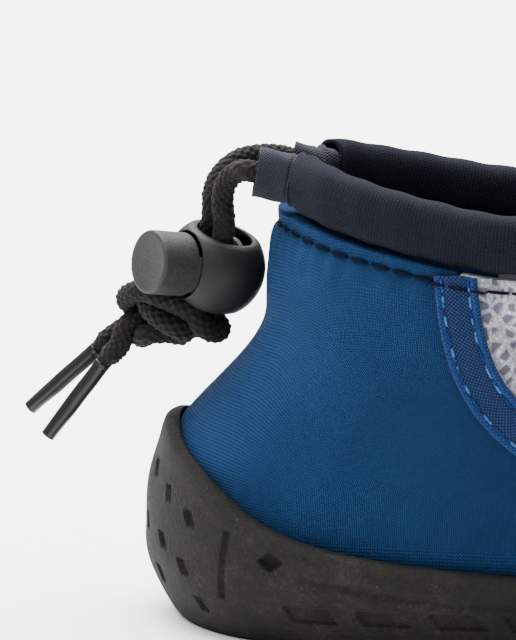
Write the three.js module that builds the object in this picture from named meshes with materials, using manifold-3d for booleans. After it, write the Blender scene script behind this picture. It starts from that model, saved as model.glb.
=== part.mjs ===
// A right-foot low neoprene water shoe with a drawcord collar and a ball cord lock at the heel.
// Millimetres. +X points to the toe, -Y is the outer (lateral) side, +Z is up.
import * as THREE from "three";
import { mergeVertices } from "three/addons/utils/BufferGeometryUtils.js";
import Module from "manifold-3d";

const wasm = await Module();
wasm.setup();

// ---------------------------------------------------------------- driving dimensions
const gap = 0.3; // clearance kept between pieces that touch
const cupClearance = 0.8; // between the rubber wall and the upper
const overlayClearance = 0.9; // under a ribbon laid over two panels
const footbedClearance = 1.2; // between the footbed's edge and the quarter
const soleWall = 3.4; // rubber side wall
const soleFloor = 6; // rubber under the foot
const boardThickness = 1.5;
const footbedThickness = 4;
const coverThickness = 0.8;
const neoprene = 3; // heel quarter
const meshThickness = 0.8; // open mesh of the vamp
const liningThickness = 1.1;
const ribbonWidth = 7.6;
const ribbonThickness = 1;
const tunnelHeight = 10;
const tunnelWidth = 6.8;
const tunnelWall = 0.9;
const cordDiameter = 3.9;
const agletDiameter = 3;
const agletLength = 16.7;
const ballRadius = 9.1;
const ballFlat = 6.6; // distance of the ball's two flats from its centre
const cordHoleRadius = 5.1;
const buttonRadius = 5.7;
const buttonReach = 14.4; // ball centre to the button's face
const buttonTravel = 2.8;
const bridge = 1.1; // wall of the button behind the cords
const springRadius = 2.3;
const springWire = 0.6;

// Stations around the shoe, from the heel's back along the outer side to the toe and back along the
// inner side. Each holds: the sole's widest outline x, y; the collar seam x, y, z; the rubber's height.
const stations = [
  [0, 0, 24, 0, 74, 36],
  [9, -22, 28.5, -13, 73.5, 31],
  [30, -33, 40, -23, 71, 19.5],
  [70, -35, 64, -29, 66.8, 14.8],
  [120, -37, 88, -27.5, 66.5, 17],
  [175, -47, 104, -20, 68.5, 18],
  [225, -47, 112, -12, 70.5, 18],
  [264, -27, 116, -5, 71.5, 19],
  [284, 6, 117.5, 0.5, 72, 20],
  [268, 35, 116, 6, 71.5, 19],
  [228, 46, 112, 12.5, 70.5, 18],
  [178, 43, 104, 20, 68.5, 18],
  [120, 29, 88, 26.5, 66.5, 17],
  [70, 30, 64, 27.5, 66.8, 15],
  [30, 31, 40, 22, 71, 19.5],
  [9, 21, 28.5, 13, 73.5, 31],
];
const loopOf = (x, y, z) => {
  const points = stations.map((s) => new THREE.Vector3(s[x], s[y], z === null ? 0 : s[z]));
  const curve = new THREE.CatmullRomCurve3(points, true, "catmullrom", 0.5);
  return (u) => curve.getPoint(((u % 1) + 1) % 1);
};
const outline = loopOf(0, 1, null);
const collarSeam = loopOf(2, 3, 4);
const rubberTop = loopOf(0, 1, 5);

// ---------------------------------------------------------------- the upper's outer surface
const smooth = (low, high, x) => {
  const t = Math.min(1, Math.max(0, (x - low) / (high - low)));
  return t * t * (3 - 2 * t);
};
const mix = (a, b, t) => a + (b - a) * t;

// The sole's outward normal in plan.
const outward = (u) => {
  const along = outline(u + 0.002).sub(outline(u - 0.002));
  return new THREE.Vector3(along.y, -along.x, 0).normalize();
};

const footLine = (u) => {
  const p = outline(u).addScaledVector(outward(u), -(soleWall + cupClearance));
  p.z = soleFloor + gap;
  return p;
};

// Point on the outer skin: u goes round the shoe, v from the sole's floor (0) to the collar seam (1).
const toeBox = 27;
const roundShare = 0.18; // share of the way to the collar that the toe's round takes
function skin(u, v) {
  const foot = footLine(u);
  const seam = collarSeam(u);
  const heelness = 1 - smooth(12, 42, foot.x);
  const frontness = smooth(60, 150, foot.x);
  const height = seam.z - foot.z;
  // rear: the wall leans in late and fast at the heel's back, evenly at the sides
  const heelLean = 0.89 * smooth(0.335, 0.735, v) + 0.11 * smooth(0.8, 1, v);
  const sideLean = smooth(0.1, 1.05, v) / smooth(0.1, 1.05, 1);
  const lean = mix(sideLean, heelLean, heelness);
  // front: a quarter round over the toes, then a slope up to the collar
  const roundEnd = (roundShare * Math.PI) / 2;
  const vRound = roundEnd / (1 - roundShare + roundEnd);
  let w = roundShare + ((v - vRound) / (1 - vRound)) * (1 - roundShare);
  let rise = 1;
  if (v < vRound) {
    const angle = ((v / vRound) * Math.PI) / 2;
    w = roundShare * (1 - Math.cos(angle));
    rise = Math.sin(angle);
  }
  const frontZ = toeBox * rise + (height - toeBox) * Math.pow(w, 1.4);
  const across = mix(lean, w, frontness);
  return new THREE.Vector3(
    mix(foot.x, seam.x, across),
    mix(foot.y, seam.y, across),
    foot.z + mix(height * v, frontZ, frontness),
  );
}
function skinNormal(u, v) {
  const low = Math.max(v - 0.004, 0);
  const high = Math.min(v + 0.004, 1);
  const du = skin(u + 0.002, v).sub(skin(u - 0.002, v));
  const dv = skin(u, high).sub(skin(u, low));
  return du.cross(dv).normalize();
}
const skinOut = (u, v, lift) => skin(u, v).addScaledVector(skinNormal(u, v), lift);

// ---------------------------------------------------------------- solids
function geometryOf(positions, faces) {
  const geometry = new THREE.BufferGeometry();
  geometry.setAttribute("position", new THREE.Float32BufferAttribute(positions, 3));
  geometry.setIndex(faces);
  return geometry;
}
function solidOf(geometry) {
  const bare = geometry.clone();
  for (const name of ["normal", "uv"]) bare.deleteAttribute(name);
  const merged = mergeVertices(bare, 1e-4);
  const mesh = new wasm.Mesh({
    numProp: 3,
    vertProperties: merged.attributes.position.array,
    triVerts: new Uint32Array(merged.index.array),
  });
  return new wasm.Manifold(mesh);
}
function geometryOfSolid(solid) {
  const mesh = solid.getMesh();
  return geometryOf(Array.from(mesh.vertProperties), Array.from(mesh.triVerts));
}

// A closed thin piece between an outer and an inner sheet, each a grid of points from at(i, j).
function slab(outer, inner, nu, nv) {
  const positions = [];
  for (const at of [outer, inner])
    for (let i = 0; i <= nu; i++)
      for (let j = 0; j <= nv; j++) positions.push(...at(i / nu, j / nv).toArray());
  const sheet = (nu + 1) * (nv + 1);
  const id = (side, i, j) => side * sheet + i * (nv + 1) + j;
  const faces = [];
  const quad = (a, b, c, d) => faces.push(a, b, c, a, c, d);
  for (let i = 0; i < nu; i++)
    for (let j = 0; j < nv; j++) {
      quad(id(0, i, j), id(0, i + 1, j), id(0, i + 1, j + 1), id(0, i, j + 1));
      quad(id(1, i, j), id(1, i, j + 1), id(1, i + 1, j + 1), id(1, i + 1, j));
    }
  for (let i = 0; i < nu; i++) {
    quad(id(0, i, 0), id(1, i, 0), id(1, i + 1, 0), id(0, i + 1, 0));
    quad(id(0, i, nv), id(0, i + 1, nv), id(1, i + 1, nv), id(1, i, nv));
  }
  for (let j = 0; j < nv; j++) {
    quad(id(0, 0, j), id(0, 0, j + 1), id(1, 0, j + 1), id(1, 0, j));
    quad(id(0, nu, j), id(1, nu, j), id(1, nu, j + 1), id(0, nu, j + 1));
  }
  return outwardFacing(positions, faces);
}
// Faces are turned over if the closed surface encloses a negative volume.
function outwardFacing(positions, faces) {
  const p = (k) => new THREE.Vector3(positions[3 * k], positions[3 * k + 1], positions[3 * k + 2]);
  let volume = 0;
  for (let k = 0; k < faces.length; k += 3)
    volume += p(faces[k]).dot(p(faces[k + 1]).cross(p(faces[k + 2])));
  if (volume < 0)
    for (let k = 0; k < faces.length; k += 3)
      [faces[k + 1], faces[k + 2]] = [faces[k + 2], faces[k + 1]];
  return geometryOf(positions, faces);
}

// A closed piece lofted through rings of equal count, each ring symmetric about its first point, with
// flat caps laced across from side to side.
function loft(rings) {
  const count = rings[0].length;
  const positions = rings.flat().flatMap((p) => p.toArray());
  const faces = [];
  for (let r = 0; r + 1 < rings.length; r++)
    for (let i = 0; i < count; i++) {
      const a = r * count + i;
      const b = r * count + ((i + 1) % count);
      faces.push(a, b, b + count, a, b + count, a + count);
    }
  const last = (rings.length - 1) * count;
  for (let i = 0; i < count / 2; i++) {
    const [a, b, c, d] = [i, i + 1, count - i - 1, (count - i) % count];
    if (i > 0) faces.push(a, d, c, last + a, last + c, last + d);
    if (b !== c) faces.push(a, c, b, last + a, last + b, last + c);
  }
  return outwardFacing(positions, faces);
}
const ringSteps = 60;
const ring = (at) => Array.from({ length: ringSteps }, (_, i) => at(i / ringSteps));
const insetRing = (inset, z) =>
  ring((u) => {
    const p = outline(u).addScaledVector(outward(u), -inset);
    p.z = z;
    return p;
  });

function tube(points, radius, sides, steps, closed = false) {
  const circle = new THREE.Shape();
  for (let k = 0; k < sides; k++) {
    const angle = (2 * Math.PI * k) / sides;
    const corner = [radius * Math.cos(angle), radius * Math.sin(angle)];
    if (k === 0) circle.moveTo(...corner);
    else circle.lineTo(...corner);
  }
  circle.closePath();
  const path = new THREE.CatmullRomCurve3(points, closed, "centripetal");
  return new THREE.ExtrudeGeometry(circle, { steps, bevelEnabled: false, extrudePath: path });
}
const vec = (x, y, z) => new THREE.Vector3(x, y, z);

// ---------------------------------------------------------------- the rubber cup sole
// Profile of the side wall: how far it lies inside the widest outline at a height.
const wallInset = (z) => 5.5 * Math.pow(Math.max(0, 1 - z / 14), 1.8) + 4.4 * Math.pow(Math.max(0, (z - 17) / 19), 2);
function soleGeometry() {
  const levels = [0, 0.2, 0.45, 0.7, 1];
  const topOf = (u) => rubberTop(u).z;
  const outer = levels.map((t) =>
    ring((u) => {
      const z = topOf(u) * t;
      const p = outline(u).addScaledVector(outward(u), -wallInset(z));
      p.z = z;
      return p;
    }),
  );
  const inner = [1, 0.8, 0.6, 0.4, 0.2].map((t) =>
    ring((u) => {
      const z = mix(soleFloor, topOf(u), t);
      // the rubber's inside follows the upper's skin, the clearance away
      const v = heightToV(u, z);
      const p = skinOut(u, v, cupClearance);
      p.z = z;
      return p;
    }),
  );
  return loft([...outer, ...inner, insetRing(soleWall, soleFloor)]);
}
// The v at which the skin has height z, found by halving.
function heightToV(u, z) {
  let low = 0;
  let high = 1;
  for (let k = 0; k < 24; k++) {
    const middle = (low + high) / 2;
    if (skin(u, middle).z < z) low = middle;
    else high = middle;
  }
  return (low + high) / 2;
}

// ---------------------------------------------------------------- inside the shoe
const insideWall = soleWall + cupClearance + neoprene + footbedClearance;
const boardBottom = soleFloor + gap;
const footbedBottom = boardBottom + boardThickness + gap;
const coverBottom = footbedBottom + footbedThickness + gap;
const plate = (inset, bottom, thickness) => loft([insetRing(inset, bottom), insetRing(inset, bottom + thickness)]);

// ---------------------------------------------------------------- panels of the upper
// The quarter's front edge: it drops steeply under the ribbon, runs forward above the sole and then
// goes straight down inside the rubber wall.
const ribbonFoot = 0.2;
const quarterEdge = (v) => {
  const down = 1 - Math.max(v, ribbonFoot);
  return 0.174 + 0.012 * down + 0.18 * Math.pow(down, 3.2);
};
const seamGap = 0.0016; // share of the way round between two panels that meet
const topGap = 0.006;
const panelRows = 12; // the same on both panels, so that their meeting edges match

const quarterAt = (lift) => (s, t) => {
  const v = t * (1 - topGap);
  const u = (2 * s - 1) * quarterEdge(v);
  return skinOut(u, v, lift);
};
const frontAt = (lift) => (s, t) => {
  const v = t * (1 - topGap);
  const edge = quarterEdge(v) + seamGap;
  return skinOut(mix(edge, 1 - edge, s), v, lift);
};
// The instep gusset narrows from the collar towards the toe.
const gussetStart = 0.6;
const gussetAt = (lift, grow) => (s, t) => {
  const v = mix(gussetStart - grow * 2, 1 - topGap + (grow > 0 ? 0.03 : 0), t);
  const half = 0.05 + 0.1 * Math.pow(Math.max(0, (v - gussetStart) / (1 - gussetStart)), 1.4) + grow;
  return skinOut(0.5 + (2 * s - 1) * half, Math.min(v, 1), lift);
};
const gussetCut = solidOf(slab(gussetAt(1.5, 0.006), gussetAt(-5, 0.006), 24, 10));
const frontPanel = (outer, inner) =>
  geometryOfSolid(solidOf(slab(frontAt(outer), frontAt(inner), 38, panelRows)).subtract(gussetCut));
const liningOuter = -(meshThickness + gap);

// A strip laid on the skin along a line of (u, v) points, its width measured over the surface.
function strip(centre, width, lift, thickness, steps) {
  const edge = (t, side) => {
    const [u, v] = centre(t);
    const ahead = centre(Math.min(1, t + 0.01));
    const behind = centre(Math.max(0, t - 0.01));
    const along = skin(...ahead).sub(skin(...behind));
    const sideways = skinNormal(u, v).cross(along).normalize().multiplyScalar(side * width);
    const su = skin(u + 0.002, v).sub(skin(u - 0.002, v)).multiplyScalar(250);
    const sv = skin(u, Math.min(1, v + 0.01)).sub(skin(u, v - 0.01)).multiplyScalar(50);
    const [a, b, c] = [su.dot(su), su.dot(sv), sv.dot(sv)];
    const [p, q] = [su.dot(sideways), sv.dot(sideways)];
    const det = a * c - b * b;
    return [u + (p * c - q * b) / det, v + (q * a - p * b) / det];
  };
  const at = (out) => (s, t) => {
    const [u, v] = edge(s, t - 0.5);
    return skinOut(u, Math.min(v, 1 - topGap), out);
  };
  return slab(at(lift + thickness), at(lift), steps, 3);
}
const ribbonTop = 0.97;
const ribbonLine = (side) => (t) => {
  const v = mix(ribbonTop, ribbonFoot, t);
  return [side * quarterEdge(v), v];
};
const bindingLine = (t) => {
  const v = gussetStart - 0.004;
  return [0.5 + (2 * t - 1) * 0.05, v];
};

// ---------------------------------------------------------------- collar tunnel and drawcord
const tunnelMiddle = (u) => {
  const n = skinNormal(u, 0.97);
  const flat = vec(n.x, n.y, 0).normalize();
  const p = collarSeam(u).addScaledVector(flat, 0.2 - tunnelWidth / 2);
  p.z += gap + tunnelHeight / 2;
  return p;
};
const oval = (frame, across, up, k, sides) => {
  const angle = (2 * Math.PI * k) / sides;
  return frame.at
    .clone()
    .addScaledVector(frame.side, across * Math.cos(angle))
    .addScaledVector(frame.up, up * Math.sin(angle));
};
// An open-ended sleeve of oval section through frames {at, side, up}.
function sleeve(frames, across, up, wall, sides) {
  const rows = [];
  for (const shrink of [0, wall])
    for (const frame of frames)
      rows.push(Array.from({ length: sides }, (_, k) => oval(frame, across - shrink, up - shrink, k, sides)));
  const n = frames.length;
  const order = [...Array(n).keys(), ...[...Array(n).keys()].reverse().map((k) => n + k)];
  const positions = rows.flat().flatMap((p) => p.toArray());
  const faces = [];
  for (let r = 0; r < order.length; r++)
    for (let k = 0; k < sides; k++) {
      const [a, b] = [order[r] * sides, order[(r + 1) % order.length] * sides];
      const next = (k + 1) % sides;
      faces.push(a + k, b + k, b + next, a + k, b + next, a + next);
    }
  return outwardFacing(positions, faces);
}
const frameAt = (at, along, upHint = vec(0, 0, 1)) => {
  const side = along.clone().cross(upHint).normalize();
  return { at, side, up: side.clone().cross(along).normalize() };
};
const tunnelSteps = 34;
// Shares of the way round where the tunnel ends on each side of the heel, and its mouths' middles.
const tunnelEnd = { lateral: 0.052, medial: 1 - 0.066 };
const mouth = { lateral: new THREE.Vector3(21, -8.2, 80.6), medial: new THREE.Vector3(25, 8.8, 80.4) };
const tunnelU = (t) => mix(tunnelEnd.lateral, tunnelEnd.medial, t);
const tunnelFrames = Array.from({ length: tunnelSteps + 1 }, (_, i) => {
  const u = tunnelU(i / tunnelSteps);
  return frameAt(tunnelMiddle(u), tunnelMiddle(u + 0.004).sub(tunnelMiddle(u - 0.004)));
});
// Each tab carries on from the tunnel's end and turns to point back over the heel.
const tabTurn = 2.5;
function tabCurve(side) {
  const u = tunnelEnd[side];
  const away = side === "lateral" ? -0.004 : 0.004;
  const heading = tunnelMiddle(u + away).sub(tunnelMiddle(u)).normalize();
  const start = tunnelMiddle(u).addScaledVector(heading, gap);
  return new THREE.QuadraticBezierCurve3(start, start.clone().addScaledVector(heading, tabTurn), mouth[side]);
}
function tabGeometry(side) {
  const curve = tabCurve(side);
  const frames = [0, 0.25, 0.5, 0.75, 1].map((t) => frameAt(curve.getPoint(t), curve.getTangent(t)));
  return sleeve(frames, tunnelWidth / 2 + 0.2, tunnelHeight / 2 - 0.4, tunnelWall, 12);
}

// ---------------------------------------------------------------- ball cord lock
const ball = vec(12.4, 0, 62);
const holeAxis = vec(0.31, -0.112, 0.944).normalize();
const pressAxis = vec(-0.72, -0.65, 0.16); // from the ball's centre out through the button
pressAxis.addScaledVector(holeAxis, -pressAxis.dot(holeAxis)).normalize();
const pairAxis = holeAxis.clone().cross(pressAxis);
const cordLean = THREE.MathUtils.degToRad(8);
const cordAxis = holeAxis
  .clone()
  .multiplyScalar(Math.cos(cordLean))
  .addScaledVector(pressAxis, Math.sin(cordLean));
const cordPush = 1.1; // the cords sit this far towards the button
const cordSpacing = cordDiameter / 2 + 0.2;

const turned = (geometry, z, x, at) => {
  const basis = new THREE.Matrix4().makeBasis(x, z.clone().cross(x), z).setPosition(at);
  return geometry.applyMatrix4(basis);
};
// A cylinder along `axis` from distance `from` to `to` off the ball's centre.
const rod = (axis, across, radius, from, to, sides = 28) => {
  const cylinder = new THREE.CylinderGeometry(radius, radius, to - from, sides).rotateX(Math.PI / 2);
  return solidOf(turned(cylinder.translate(0, 0, (from + to) / 2), axis, across, ball));
};
const boreRadius = buttonRadius + gap;
const boreEnd = -5.9;
const pocketEnd = -7.9;
const cordInner = cordPush - cordDiameter / 2 - 1.2; // nearest the blind end that the cords come
const slotInner = cordInner - 0.05;
const slotOuter = cordPush + cordDiameter / 2 + 1.2 + buttonTravel;
function ballGeometry() {
  const sphere = turned(new THREE.SphereGeometry(ballRadius, 26, 16).rotateX(Math.PI / 2), holeAxis, pressAxis, ball);
  const slabBox = new THREE.BoxGeometry(3 * ballRadius, 3 * ballRadius, 2 * ballFlat);
  return geometryOfSolid(
    solidOf(sphere)
      .intersect(solidOf(turned(slabBox, holeAxis, pressAxis, ball)))
      .subtract(rod(holeAxis, pressAxis, cordHoleRadius, -12, 12))
      .subtract(rod(pressAxis, holeAxis, boreRadius, boreEnd, 12))
      .subtract(rod(pressAxis, holeAxis, springRadius + 0.7, pocketEnd, 0)),
  );
}
function buttonGeometry() {
  const slotLength = slotOuter - slotInner;
  const slot = new THREE.BoxGeometry(2 * (cordSpacing + cordDiameter / 2 + 0.3), 30, slotLength);
  slot.translate(0, 0, (slotOuter + slotInner) / 2);
  return geometryOfSolid(
    rod(pressAxis, pairAxis, buttonRadius, slotInner - bridge, buttonReach, 36).subtract(
      solidOf(turned(slot, pressAxis, pairAxis, ball)),
    ),
  );
}
function springGeometry() {
  const turns = 2;
  const from = pocketEnd + springWire / 2 + 0.1;
  const to = slotInner - bridge - springWire / 2 - 0.1;
  const points = Array.from({ length: turns * 8 + 1 }, (_, i) => {
    const angle = (Math.PI * i) / 4;
    return ball
      .clone()
      .addScaledVector(pressAxis, mix(from, to, i / (turns * 8)))
      .addScaledVector(pairAxis, springRadius * Math.cos(angle))
      .addScaledVector(holeAxis, springRadius * Math.sin(angle));
  });
  return tube(points, springWire / 2, 6, turns * 12);
}

// ---------------------------------------------------------------- free cord, knot and aglets
const inLock = (side, along) =>
  ball
    .clone()
    .addScaledVector(pressAxis, cordPush)
    .addScaledVector(pairAxis, side * cordSpacing)
    .addScaledVector(cordAxis, along);
// The outer (lateral) strand lies on the pair axis's outer end.
const outerEnd = pairAxis.y < 0 ? 1 : -1;
const cordInTunnel = Array.from({ length: 33 }, (_, i) => tunnelMiddle(tunnelU(i / 32)));
const outOfMouth = (side, distance) =>
  mouth[side].clone().addScaledVector(tabCurve(side).getTangent(1), distance);
const lateralStrand = [
  outOfMouth("lateral", 2 * gap),
  outOfMouth("lateral", 2),
  vec(17.2, -7.2, 80.2),
  vec(15.4, -6, 78.2),
  vec(14.6, -5, 75.2),
  inLock(outerEnd, 10),
  inLock(outerEnd, 0),
  inLock(outerEnd, -8.3),
];
const medialStrand = [
  outOfMouth("medial", 2 * gap),
  outOfMouth("medial", 2),
  vec(20, 6.2, 81.4),
  vec(16.2, 3.8, 80.8),
  vec(13.3, 1.6, 78.4),
  vec(12.2, 0, 75.6),
  inLock(-outerEnd, 10),
  inLock(-outerEnd, 0),
  inLock(-outerEnd, -8.3),
];
const knotCentre = vec(4.2, 1.5, 51.6);
function knotGeometry() {
  const lump = new THREE.SphereGeometry(1, 20, 12);
  lump.applyMatrix4(new THREE.Matrix4().makeScale(8.6, 6.2, 4.6)).rotateY(0.28);
  lump.translate(...knotCentre.toArray());
  const clearBall = turned(new THREE.SphereGeometry(ballRadius + 0.4, 28, 18), holeAxis, pressAxis, ball);
  let knot = solidOf(lump)
    .subtract(solidOf(clearBall))
    .subtract(rod(pressAxis, holeAxis, buttonRadius + 0.5, 0, buttonReach + 1));
  for (const points of [lateralStrand, medialStrand])
    knot = knot.subtract(solidOf(tube(points, cordDiameter / 2 + gap, 8, 24)));
  return geometryOfSolid(knot.decompose().sort((a, b) => b.volume() - a.volume())[0]);
}
const tails = {
  lateral: [vec(-3.6, -1.2, 48.4), vec(-5.4, -1.8, 46.6), vec(-7.3, -2.2, 44.6)],
  medial: [vec(-3.4, 3, 50.4), vec(-6.4, 2.6, 48.6), vec(-9.1, 2.2, 46.2)],
};
const agletHeading = { lateral: vec(-0.6, -0.06, -0.8).normalize(), medial: vec(-0.74, 0.02, -0.67).normalize() };
const agletLine = (side) => {
  const start = tails[side][2].clone().addScaledVector(agletHeading[side], gap + 0.1);
  return [start, start.clone().addScaledVector(agletHeading[side], agletLength)];
};

// ---------------------------------------------------------------- the assembly
const shoe = new THREE.Group();
function add(name, geometry, color, roughness, metalness = 0) {
  const mesh = new THREE.Mesh(geometry, new THREE.MeshStandardMaterial({ color, roughness, metalness }));
  mesh.name = name;
  shoe.add(mesh);
}
const rubberGrey = 0x34322c;
const blue = 0x14509a;
const navy = 0x232633;
const black = 0x1b1a19;

add("outsole", soleGeometry(), rubberGrey, 0.85);
add("strobel_board", plate(insideWall, boardBottom, boardThickness), 0xd8d4c8, 0.9);
add("footbed", plate(insideWall, footbedBottom, footbedThickness), 0x30343c, 0.85);
add("footbed_cover", plate(insideWall, coverBottom, coverThickness), navy, 0.9);
add("heel_quarter", slab(quarterAt(0), quarterAt(-neoprene), 36, panelRows), blue, 0.9);
add("vamp_mesh", frontPanel(0, -meshThickness), 0x9a9ca0, 0.9);
add("vamp_lining", frontPanel(liningOuter, liningOuter - liningThickness), 0x3a3d44, 0.9);
add("instep_gusset", slab(gussetAt(0, 0), gussetAt(-neoprene, 0), 14, 8), navy, 0.9);
add("gusset_binding", strip(bindingLine, ribbonWidth * 0.8, overlayClearance, ribbonThickness, 8), blue, 0.8);
add("ribbon_lateral", strip(ribbonLine(1), ribbonWidth, overlayClearance, ribbonThickness, 18), blue, 0.8);
add("ribbon_medial", strip(ribbonLine(-1), ribbonWidth, overlayClearance, ribbonThickness, 18), blue, 0.8);
add("collar_tunnel", sleeve(tunnelFrames, tunnelWidth / 2, tunnelHeight / 2, tunnelWall, 10), navy, 0.9);
add("tunnel_tab_lateral", tabGeometry("lateral"), navy, 0.9);
add("tunnel_tab_medial", tabGeometry("medial"), navy, 0.9);
add("drawcord", tube(cordInTunnel, cordDiameter / 2, 8, 34), black, 0.95);
add("cord_strand_lateral", tube(lateralStrand, cordDiameter / 2, 8, 18), black, 0.95);
add("cord_strand_medial", tube(medialStrand, cordDiameter / 2, 8, 20), black, 0.95);
add("lock_body", ballGeometry(), black, 0.6);
add("lock_button", buttonGeometry(), 0x2a2928, 0.5);
add("lock_spring", springGeometry(), 0xb8b8b8, 0.3, 1);
add("cord_knot", knotGeometry(), black, 0.95);
for (const side of ["lateral", "medial"]) {
  add("cord_tail_" + side, tube(tails[side], cordDiameter / 2, 8, 4), black, 0.95);
  add("aglet_" + side, tube(agletLine(side), agletDiameter / 2, 10, 1), black, 0.25);
}

// The origin is the middle of the underside of everything but the free cord and what is on it.
const onCord = /^(cord_|lock_|aglet_)/;
const box = new THREE.Box3();
for (const mesh of shoe.children) {
  mesh.geometry.computeBoundingBox();
  if (!onCord.test(mesh.name)) box.union(mesh.geometry.boundingBox);
}
const middle = box.getCenter(new THREE.Vector3());
shoe.position.set(-middle.x, -middle.y, -box.min.z);

export default shoe;
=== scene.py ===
"""Looks for a low neoprene water shoe with a drawcord collar and a ball cord lock at the heel.

Shapes are worked out in millimetres in the design frame of the CAD model, whose x = 0 is the heel's
rearmost point, and placed in the row frame, in metres, by M().
"""

import math
from contextlib import contextmanager

import bmesh
import bpy
import numpy as np
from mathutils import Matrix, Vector


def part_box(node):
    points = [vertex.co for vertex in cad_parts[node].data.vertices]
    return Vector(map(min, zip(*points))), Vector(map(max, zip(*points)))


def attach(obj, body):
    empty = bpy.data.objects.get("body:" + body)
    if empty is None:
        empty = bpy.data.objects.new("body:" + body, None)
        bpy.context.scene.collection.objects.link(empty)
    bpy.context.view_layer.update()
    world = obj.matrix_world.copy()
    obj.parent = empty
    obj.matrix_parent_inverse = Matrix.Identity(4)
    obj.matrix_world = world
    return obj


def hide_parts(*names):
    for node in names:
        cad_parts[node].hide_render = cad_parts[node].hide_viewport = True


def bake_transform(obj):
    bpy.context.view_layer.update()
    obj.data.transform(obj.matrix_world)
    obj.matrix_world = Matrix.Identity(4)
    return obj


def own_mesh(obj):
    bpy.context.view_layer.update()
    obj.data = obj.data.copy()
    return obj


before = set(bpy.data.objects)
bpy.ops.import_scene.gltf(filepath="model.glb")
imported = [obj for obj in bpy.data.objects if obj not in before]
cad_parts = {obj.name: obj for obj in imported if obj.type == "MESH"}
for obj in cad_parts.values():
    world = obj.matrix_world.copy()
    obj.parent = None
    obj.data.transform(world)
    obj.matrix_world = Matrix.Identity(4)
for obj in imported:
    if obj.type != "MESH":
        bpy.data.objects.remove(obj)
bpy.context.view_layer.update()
rng = np.random.default_rng(7)
MM = 0.001

# ------------------------------------------------------------------ the design's sizes, as in CAD
GAP = 0.3
SOLE_WALL = 3.4
CUP_CLEARANCE = 0.8
SOLE_FLOOR = 6.0
NEOPRENE = 3.0
MESH_THICKNESS = 0.8
RIBBON_WIDTH = 7.6
RIBBON_STITCH = 1.45  # stitch rows, in from each edge
TUNNEL_HEIGHT = 10.0
TUNNEL_WIDTH = 6.8
CORD = 3.9
BALL_RADIUS = 9.1
BALL_FLAT = 6.6
CORD_HOLE = 5.1
BUTTON_RADIUS = 5.7
BUTTON_REACH = 14.4
STATIONS = np.array([
    [0, 0, 24, 0, 74, 36], [9, -22, 28.5, -13, 73.5, 31], [30, -33, 40, -23, 71, 19.5],
    [70, -35, 64, -29, 66.8, 14.8], [120, -37, 88, -27.5, 66.5, 17], [175, -47, 104, -20, 68.5, 18],
    [225, -47, 112, -12, 70.5, 18], [264, -27, 116, -5, 71.5, 19], [284, 6, 117.5, 0.5, 72, 20],
    [268, 35, 116, 6, 71.5, 19], [228, 46, 112, 12.5, 70.5, 18], [178, 43, 104, 20, 68.5, 18],
    [120, 29, 88, 26.5, 66.5, 17], [70, 30, 64, 27.5, 66.8, 15], [30, 31, 40, 22, 71, 19.5],
    [9, 21, 28.5, 13, 73.5, 31],
])


def loop_of(*columns):
    """Closed Catmull-Rom curve through some columns of the stations, as a function of u."""
    points = STATIONS[:, columns]
    count = len(points)

    def at(u):
        p = (np.asarray(u, float) % 1.0) * count
        i = np.floor(p).astype(int)
        t = (p - i)[..., None]
        a, b, c, d = (points[(i + k) % count] for k in (-1, 0, 1, 2))
        square = 2 * a - 5 * b + 4 * c - d
        return 0.5 * (2 * b + (c - a) * t + square * t**2 + (3 * b - a - 3 * c + d) * t**3)

    return at


outline_xy = loop_of(0, 1)
collar_seam = loop_of(2, 3, 4)
rubber_top = loop_of(5)


def smooth(low, high, x):
    t = np.clip((x - low) / (high - low), 0, 1)
    return t * t * (3 - 2 * t)


def mix(a, b, t):
    return a + (b - a) * t


def unit(v):
    return v / np.maximum(np.linalg.norm(v, axis=-1, keepdims=True), 1e-9)


def circle(sides):
    """Evenly spaced angles round a ring."""
    return 2 * math.pi * np.arange(sides) / sides


def outward(u):
    along = outline_xy(u + 0.002) - outline_xy(u - 0.002)
    return unit(np.stack([along[..., 1], -along[..., 0], 0 * along[..., 0]], -1))


def outline(u):
    p = outline_xy(u)
    return np.concatenate([p, 0 * p[..., :1]], -1)


TOE_BOX = 27.0
ROUND_SHARE = 0.18
ROUND_END = ROUND_SHARE * math.pi / 2
V_ROUND = ROUND_END / (1 - ROUND_SHARE + ROUND_END)


def skin(u, v):
    """Point of the upper's outer skin: u goes round the shoe from the heel, v from the sole to the collar."""
    u, v = np.broadcast_arrays(np.asarray(u, float), np.asarray(v, float))
    foot = outline(u) - outward(u) * (SOLE_WALL + CUP_CLEARANCE)
    foot[..., 2] = SOLE_FLOOR + GAP
    seam = collar_seam(u)
    heelness = 1 - smooth(12, 42, foot[..., 0])
    frontness = smooth(60, 150, foot[..., 0])
    height = seam[..., 2] - foot[..., 2]
    heel_lean = 0.89 * smooth(0.335, 0.735, v) + 0.11 * smooth(0.8, 1, v)
    side_lean = smooth(0.1, 1.05, v) / smooth(0.1, 1.05, 1.0)
    lean = mix(side_lean, heel_lean, heelness)
    angle = np.clip(v / V_ROUND, 0, 1) * math.pi / 2
    slope = ROUND_SHARE + (v - V_ROUND) / (1 - V_ROUND) * (1 - ROUND_SHARE)
    w = np.where(v < V_ROUND, ROUND_SHARE * (1 - np.cos(angle)), slope)
    rise = np.where(v < V_ROUND, np.sin(angle), 1.0)
    front_z = TOE_BOX * rise + (height - TOE_BOX) * np.abs(w) ** 1.4
    across = mix(lean, w, frontness)
    out = mix(foot, seam, across[..., None])
    out[..., 2] = foot[..., 2] + mix(height * v, front_z, frontness)
    return out


def skin_normal(u, v):
    low, high = np.clip(v - 0.004, 0, 1), np.clip(v + 0.004, 0, 1)
    du = skin(u + 0.002, v) - skin(u - 0.002, v)
    dv = skin(u, high) - skin(u, low)
    return unit(np.cross(du, dv))


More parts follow.
